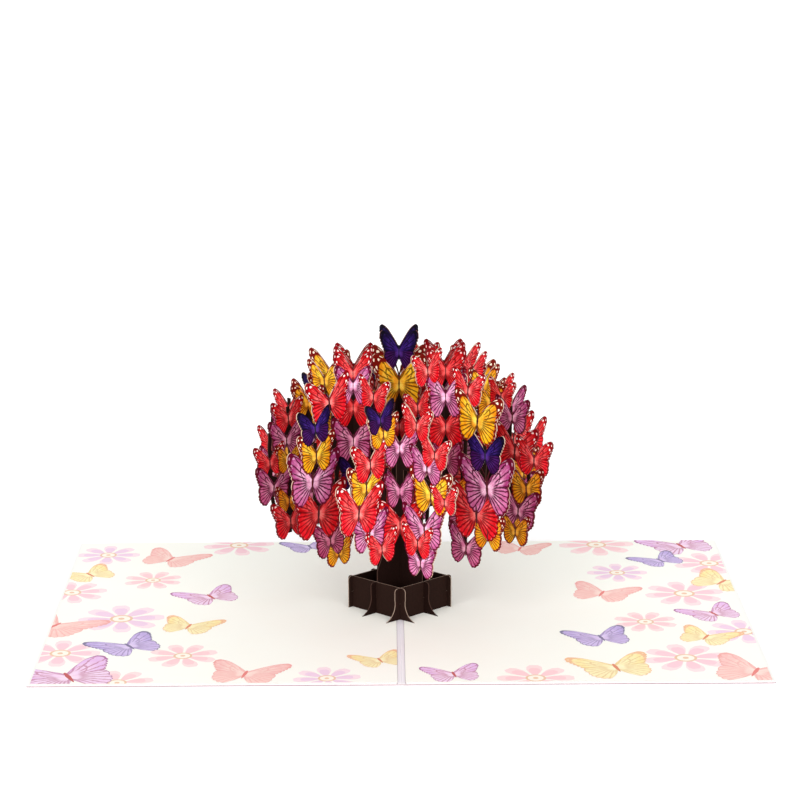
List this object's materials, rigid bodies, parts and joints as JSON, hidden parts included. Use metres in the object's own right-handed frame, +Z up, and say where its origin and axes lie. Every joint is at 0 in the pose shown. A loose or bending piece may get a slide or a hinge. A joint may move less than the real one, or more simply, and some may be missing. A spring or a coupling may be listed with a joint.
{
  "type": "pop up card",
  "caption": "Open greeting card with a round tree of slotted butterfly sheets standing on its two pages over a low square base.",
  "frame": {"origin": "centre of the open cover's underside, on the spine's fold line", "axes": "+X across the two open leaves to the right, +Y along the spine away from the reader, +Z up"},
  "size_m": [0.3, 0.2, 0.1251],
  "materials": {
    "cover_card": "pink card with a fine cotton texture outside, white inside",
    "page_paper": "smooth warm white paper with a soft printed pattern",
    "base_card": "dark brown card with pale cut edges",
    "tree_card": "card printed on both sides with butterflies and dark brown branches"
  },
  "bodies": {
    "root": {"cover": "cover_card", "left_page": "page_paper", "right_page": "page_paper", "base_wall_front_right": "base_card", "base_wall_back_left": "base_card", "base_wall_back_right": "base_card", "base_wall_front_left": "base_card", "centre_sheet_left": "tree_card", "centre_sheet_right": "tree_card", "side_sheet_front_right": "tree_card", "side_sheet_back_right": "tree_card", "side_sheet_back_left": "tree_card", "side_sheet_front_left": "tree_card"}
  },
  "joints": []
}
